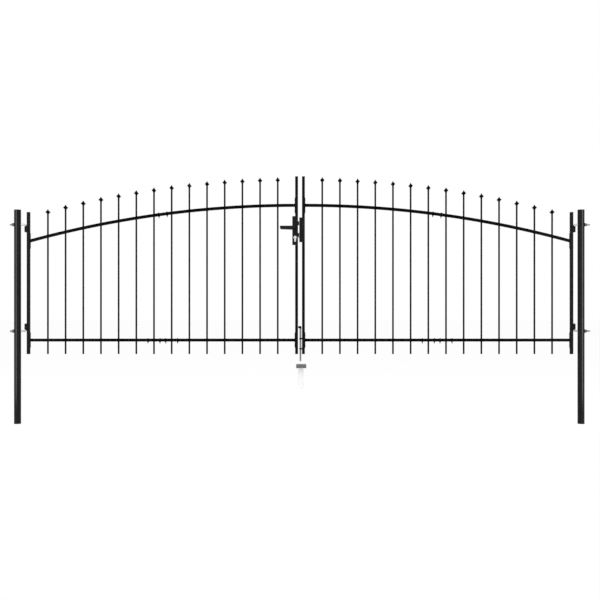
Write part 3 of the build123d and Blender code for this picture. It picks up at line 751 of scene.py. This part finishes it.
for side in (-1, 1):
    makePlateScrews(side)


# Lock: lever handles, their roses, the cylinder's flange and ring, and the case screws

lockPlan = {
    "spindleX": 1.946, "spindleZ": 1.374, "cylinderX": 1.9464, "cylinderZ": 1.304, "faceY": 0.014,
}
lever = {
    "reach": 0.046, "tipX": 1.8405, "tall": 0.022, "tipTall": 0.019, "thick": 0.009,
    "gap": 0.0004, "neckRadius": 0.009, "neckSteps": (0, 0.004, 0.0095), "shoulder": 0.0145,
    "shoulderWide": 0.80, "shoulderTall": 1.04, "waist": 0.62, "bendRadius": 0.0085,
    "bendSteps": 8, "armSteps": 12, "tipLength": 0.007,
    # how round each section is, from a circle at 1 to a square at 0
    "neckRound": 1.0, "shoulderRound": 0.86, "bendRound": 0.66, "bendEase": 0.14,
    "armRound": 0.5, "tipRound": 0.56,
    # where the bend starts: shares of the arm's height below and above the middle
    "bendLow": 0.94, "bendTop": 0.95,
    # distance from the tip, inset of the edges and share of the thickness
    "tipSteps": (
        (0.0045, 0.0006, 0.98), (0.0025, 0.0018, 0.93),
        (0.001, 0.0038, 0.82), (0.0003, 0.006, 0.62),
    ),
    "lowInset": 1.25, "topInset": 0.5,
    "ringSpots": 28,
}


def ovalRing(centre, across, halfAcross, low, high, power):
    # a softened rectangle, upright, with its flat sides along the lever
    middle, half = (low + high) / 2, (high - low) / 2
    spots = []
    for k in range(lever["ringSpots"]):
        angle = 2 * pi * k / lever["ringSpots"]
        c, s = cos(angle), sin(angle)
        u = abs(c) ** power * (1 if c >= 0 else -1)
        w = abs(s) ** power * (1 if s >= 0 else -1)
        spots.append(centre + across * halfAcross * u + upward * (middle + half * w))
    return spots


def makeLever(face, name, node):
    # face is -1 in front and 1 behind
    bm = bmesh.new()
    x = lockPlan["spindleX"]
    start = lockPlan["faceY"] + lever["gap"]
    neck, thick = lever["neckRadius"], lever["thick"] / 2
    top, low = lever["tall"] / 2, -lever["tall"] / 2
    rings = []

    def section(px, py, wayX, wayY, halfAcross, bottom, head, power):
        # px along the gate, py out from the case; the way points along the lever
        across = Vector((-wayY, wayX * face, 0)).normalized()
        centre = Vector((px, py * face, lockPlan["spindleZ"]))
        rings.append(ovalRing(centre, across, halfAcross, bottom, head, power))

    # a round neck that flattens towards the bend
    for step in lever["neckSteps"]:
        section(x, start + step, 0, 1, neck, -neck, neck, lever["neckRound"])
    wide, tall = neck * lever["shoulderWide"], neck * lever["shoulderTall"]
    shoulderY = start + lever["shoulder"]
    section(x, shoulderY, 0, 1, wide, -tall, tall, lever["shoulderRound"])
    waist = neck * lever["waist"]
    outY = lever["reach"] - thick
    bendStart = outY - lever["bendRadius"]
    bottom, head = low * lever["bendLow"], top * lever["bendTop"]
    section(x, bendStart, 0, 1, waist, bottom, head, lever["bendRound"])
    for k in range(1, lever["bendSteps"] + 1):
        ease = k / lever["bendSteps"]
        angle = pi / 2 * ease
        px = x - lever["bendRadius"] * (1 - cos(angle))
        py = bendStart + lever["bendRadius"] * sin(angle)
        across = waist + (thick - waist) * ease
        roundness = lever["bendRound"] - lever["bendEase"] * ease
        section(px, py, -sin(angle), cos(angle), across, low, top, roundness)
    # the arm gets lower towards its rounded tip, from below only
    armStart, tipX = x - lever["bendRadius"], lever["tipX"]
    tipLow = top - lever["tipTall"]
    for k in range(1, lever["armSteps"] + 1):
        share = k / lever["armSteps"]
        px = armStart + (tipX + lever["tipLength"] - armStart) * share
        section(px, outY, -1, 0, thick, low + (tipLow - low) * share, top, lever["armRound"])
    for lift, inset, squeeze in lever["tipSteps"]:
        bottom, head = tipLow + inset * lever["lowInset"], top - inset * lever["topInset"]
        section(tipX + lift, outY, -1, 0, thick * squeeze, bottom, head, lever["tipRound"])
    joinRings(bm, rings)
    finishPiece(bm, name, "handle", looks["leverCoat"], [node], sharp=70)


makeLever(-1, "frontLever", "front_lever")
makeLever(1, "backLever", "back_lever")

caseTrim = {
    "rose": (
        (0.0097, 0.0), (0.0125, 0.0), (0.0125, 0.0012),
        (0.0120, 0.0018), (0.0105, 0.0021), (0.0097, 0.0015),
    ),
    "roseSink": 0.0002, "roseSpots": 40,
    "screwZ": (1.4435, 1.2635), "screwX": ((1.9360, 90), (1.9580, 40)),
    "screwRadius": 0.0038, "screwHeight": 0.0016,
    "beadLeft": 0.0096, "beadRight": 0.0086, "beadHalf": 0.0096,
}


def makeLockTrim():
    bm = bmesh.new()
    x, z, faceY = lockPlan["spindleX"], lockPlan["spindleZ"], lockPlan["faceY"]
    for face in (-1, 1):
        way = (0, face, 0)
        # a raised ring round the lever's neck, open in the middle
        place = aim(Vector((x, face * (faceY - caseTrim["roseSink"]), z)), way)
        count = caseTrim["roseSpots"]
        rings = [circleRing(place, radius, level, count) for radius, level in caseTrim["rose"]]
        joinRings(bm, rings, loop=True)
        for screwZ in caseTrim["screwZ"]:
            for screwX, twist in caseTrim["screwX"]:
                spot = Vector((screwX, face * faceY, screwZ))
                radius, height = caseTrim["screwRadius"], caseTrim["screwHeight"]
                addScrew(bm, spot, way, radius, height, screwZ * twist)
    # beads that close the case against the stile above and below it
    stileX = acrossX(-1, gate["meetingOut"])
    left, right = stileX - caseTrim["beadLeft"], stileX + caseTrim["beadRight"]
    half = caseTrim["beadHalf"]
    low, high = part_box("lock_case")
    for level in (low.z, high.z):
        corners = ((left, -half), (left, half), (right, half), (right, -half))
        route = [Vector((cornerX, cornerY, level)) for cornerX, cornerY in corners]
        addBead(bm, lineSpots(route, closed=True), weld["caseBead"], True)
    finishPiece(bm, "lockTrim", "left_leaf", looks["lockCoat"], sharp=32)


makeLockTrim()

guard = {
    "innerHead": 0.0088, "innerTail": 0.0053, "innerTall": 0.0336,
    "outerHead": 0.0115, "outerTail": 0.0065, "outerTall": 0.0410,
    "thick": 0.0015, "edge": 0.0005, "edgeLevel": 0.001, "headSteps": 40, "tailSteps": 16,
    "ringRadius": 0.0066, "ringHalf": 0.0004, "ringRise": 0.00035, "ringSteps": 8,
    "ringSpots": 40,
}


def keyholeSpots(head, tail, tall):
    # a round head of one radius with a narrower tail of another below it
    foot = tall - head - tail
    turn = asin(tail / head)
    spots = []
    for k in range(guard["headSteps"] + 1):
        angle = -pi / 2 + turn + (2 * pi - 2 * turn) * k / guard["headSteps"]
        spots.append((head * cos(angle), head * sin(angle)))
    for k in range(guard["tailSteps"] + 1):
        angle = -pi + pi * k / guard["tailSteps"]
        spots.append((tail * cos(angle), -foot + tail * sin(angle)))
    return spots


def makeCylinderRings():
    bm = bmesh.new()
    centreX, centreZ = lockPlan["cylinderX"], lockPlan["cylinderZ"]
    inner = keyholeSpots(guard["innerHead"], guard["innerTail"], guard["innerTall"])
    outer = keyholeSpots(guard["outerHead"], guard["outerTail"], guard["outerTall"])
    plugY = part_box("lock_cylinder")[1].y
    for face in (-1, 1):
        # the raised flange round the cylinder
        rings = []
        for outline, inset, level in (
            (inner, 0.0, 0.0), (outer, 0.0, 0.0), (outer, 0.0, guard["edgeLevel"]),
            (outer, guard["edge"], guard["thick"]), (inner, 0.0, guard["thick"]),
        ):
            share = 1 - inset / guard["outerHead"]
            y = face * (lockPlan["faceY"] + level)
            rings.append(
                [Vector((centreX + x * share, y, centreZ + z * share)) for x, z in outline]
            )
        joinRings(bm, rings, loop=True)
        # the fine ring round the plug that the key turns
        place = aim(Vector((centreX, face * plugY, centreZ)), (0, face, 0))
        rings = []
        for k in range(guard["ringSteps"]):
            angle = 2 * pi * k / guard["ringSteps"]
            radius = guard["ringRadius"] + guard["ringHalf"] * cos(angle)
            rise = guard["ringRise"] * sin(angle)
            rings.append(circleRing(place, radius, rise, guard["ringSpots"]))
        joinRings(bm, rings, loop=True)
    finishPiece(bm, "cylinderRings", "left_leaf", looks["satinNickel"], sharp=60)


makeCylinderRings()

keepTrim = {
    "screwInset": 0.012, "screwShift": 0.001, "screwRadius": 0.0038, "screwHeight": 0.0018,
    "screwTwist": 70, "guideThick": 0.008, "guideHalf": 0.0078, "guideSink": 0.0002,
}


def makeKeepTrim():
    bm = bmesh.new()
    low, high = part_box("keep_box")
    screwX = acrossX(1, gate["meetingOut"]) + keepTrim["screwShift"]
    radius, height = keepTrim["screwRadius"], keepTrim["screwHeight"]
    for face in (-1, 1):
        for level in (low.z + keepTrim["screwInset"], high.z - keepTrim["screwInset"]):
            spot = Vector((screwX, face * high.y, level))
            addScrew(bm, spot, (0, face, 0), radius, height, level * keepTrim["screwTwist"])
    # beads above and below each guide of the drop bolt, on the stile's face
    low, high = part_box("drop_bolt_guides")
    beadX = acrossX(1, gate["meetingOut"] - gate["tube"] / 2) - keepTrim["guideSink"]
    thick, half = keepTrim["guideThick"], keepTrim["guideHalf"]
    for level in (low.z, low.z + thick, high.z - thick, high.z):
        route = [Vector((beadX, y, level)) for y in (-half, half)]
        addBead(bm, lineSpots(route), weld["guideBead"])
    finishPiece(bm, "keepTrim", "right_leaf", looks["lockCoat"], sharp=40)


makeKeepTrim()
print("lock, levers and keep are dressed")


# Ground stop: the bead that holds the block on its tube


def makeStopBead():
    bm = bmesh.new()
    low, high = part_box("ground_stop_anchor")
    centre = Vector(((low.x + high.x) / 2, 0, high.z - weld["stopInset"]))
    radius = (high.x - low.x) / 2 + weld["stopLift"]
    route = []
    for k in range(weld["stopSpots"]):
        angle = 2 * pi * k / weld["stopSpots"]
        route.append(centre + Vector((radius * cos(angle), radius * sin(angle), 0)))
    addBead(bm, route, weld["stopBead"], True, weld["stopRipple"])
    finishPiece(bm, "stopBead", "posts", looks["paleZinc"], sharp=60)


makeStopBead()
print("ground stop is dressed")


# Floor, light and camera

studio = {
    "floorSize": 60.0, "floorZ": -0.0005, "floorColour": (0.95, 0.95, 0.95, 1),
    "floorRough": 0.9, "floorWhite": 0.92, "worldLevel": 0.80,
    "sideOut": 2.78, "sideY": -1.25, "sideZ": 1.1, "sideSize": (0.90, 2.8), "sideSpread": 110,
    "sideLight": 46.0, "topPlace": (1.981, -1.6, 4.6), "topTarget": (1.981, 0, 0.8),
    "topSize": (4.0, 2.0), "topSpread": 180, "topLight": 120.0,
    "lens": 50.0, "sensor": 36.0, "eye": (1.981, -5.845, 0.867),
}


def seenRay(nodes, links):
    # 1 for the rays that show the white background: camera, glossy and transmission
    path = nodes.new("ShaderNodeLightPath")
    first = nodes.new("ShaderNodeMath")
    first.operation = "MAXIMUM"
    links.new(path.outputs["Is Camera Ray"], first.inputs[0])
    links.new(path.outputs["Is Glossy Ray"], first.inputs[1])
    second = nodes.new("ShaderNodeMath")
    second.operation = "MAXIMUM"
    links.new(first.outputs[0], second.inputs[0])
    links.new(path.outputs["Is Transmission Ray"], second.inputs[1])
    return second.outputs[0]


def makeFloor():
    bm = bmesh.new()
    half = studio["floorSize"] / 2
    spots = [(-half, -half), (half, -half), (half, half), (-half, half)]
    corners = [(gate["centreX"] + x, y, studio["floorZ"]) for x, y in spots]
    bm.faces.new([bm.verts.new(corner) for corner in corners])
    mesh = bpy.data.meshes.new("paleFloor")
    bm.to_mesh(mesh)
    bm.free()
    floor = bpy.data.objects.new("paleFloor", mesh)
    bpy.context.scene.collection.objects.link(floor)
    material = bpy.data.materials.new("paleFloor")
    material.use_nodes = True
    nodes, links = material.node_tree.nodes, material.node_tree.links
    matt = nodes["Principled BSDF"]
    matt.inputs["Base Color"].default_value = studio["floorColour"]
    matt.inputs["Roughness"].default_value = studio["floorRough"]
    matt.inputs["Specular IOR Level"].default_value = 0.0
    glow = nodes.new("ShaderNodeEmission")
    glow.inputs["Strength"].default_value = 1.0
    # part glow and part matt floor, so that the shadow stays
    blend = nodes.new("ShaderNodeMixShader")
    level = nodes.new("ShaderNodeMath")
    level.operation = "MULTIPLY"
    level.inputs[1].default_value = studio["floorWhite"]
    links.new(seenRay(nodes, links), level.inputs[0])
    links.new(level.outputs[0], blend.inputs[0])
    links.new(matt.outputs[0], blend.inputs[1])
    links.new(glow.outputs[0], blend.inputs[2])
    links.new(blend.outputs[0], nodes["Material Output"].inputs["Surface"])
    mesh.materials.append(material)


def makeWorld():
    # white where it is seen, and a plain level of light for the gate
    world = bpy.data.worlds.new("studioAir")
    bpy.context.scene.world = world
    world.use_nodes = True
    nodes, links = world.node_tree.nodes, world.node_tree.links
    nodes.clear()
    light = nodes.new("ShaderNodeBackground")
    light.inputs["Color"].default_value = (1, 1, 1, 1)
    light.inputs["Strength"].default_value = studio["worldLevel"]
    white = nodes.new("ShaderNodeBackground")
    white.inputs["Color"].default_value = (1, 1, 1, 1)
    white.inputs["Strength"].default_value = 1.0
    blend = nodes.new("ShaderNodeMixShader")
    end = nodes.new("ShaderNodeOutputWorld")
    links.new(seenRay(nodes, links), blend.inputs[0])
    links.new(light.outputs[0], blend.inputs[1])
    links.new(white.outputs[0], blend.inputs[2])
    links.new(blend.outputs[0], end.inputs["Surface"])


def makeLamp(name, place, target, size, power, spread):
    lamp = bpy.data.lights.new(name, "AREA")
    lamp.shape = "RECTANGLE"
    lamp.size, lamp.size_y = size
    lamp.energy = power
    lamp.spread = radians(spread)
    holder = bpy.data.objects.new(name, lamp)
    bpy.context.scene.collection.objects.link(holder)
    holder.location = place
    way = Vector(target) - Vector(place)
    holder.rotation_euler = way.to_track_quat("-Z", "Y").to_euler()


def makeLamps():
    # the side panels put the strip of light on each post
    for side in (-1, 1):
        panelX, panelZ = acrossX(side, studio["sideOut"]), studio["sideZ"]
        makeLamp(
            f"{sideWord[side]}Panel", (panelX, studio["sideY"], panelZ), (panelX, 0, panelZ),
            studio["sideSize"], studio["sideLight"], studio["sideSpread"],
        )
    makeLamp(
        "topPanel", studio["topPlace"], studio["topTarget"], studio["topSize"],
        studio["topLight"], studio["topSpread"],
    )


def makeCamera():
    # level, square to the gate and in front of its middle, as the photograph is taken
    eye = bpy.data.cameras.new("photoEye")
    eye.lens = studio["lens"]
    eye.sensor_width = studio["sensor"]
    holder = bpy.data.objects.new("photoEye", eye)
    bpy.context.scene.collection.objects.link(holder)
    holder.location = studio["eye"]
    holder.rotation_euler = (radians(90), 0, 0)
    bpy.context.scene.camera = holder


makeFloor()
makeWorld()
makeLamps()
makeCamera()
bpy.context.scene.view_settings.view_transform = "Standard"
print("studio and camera are set")
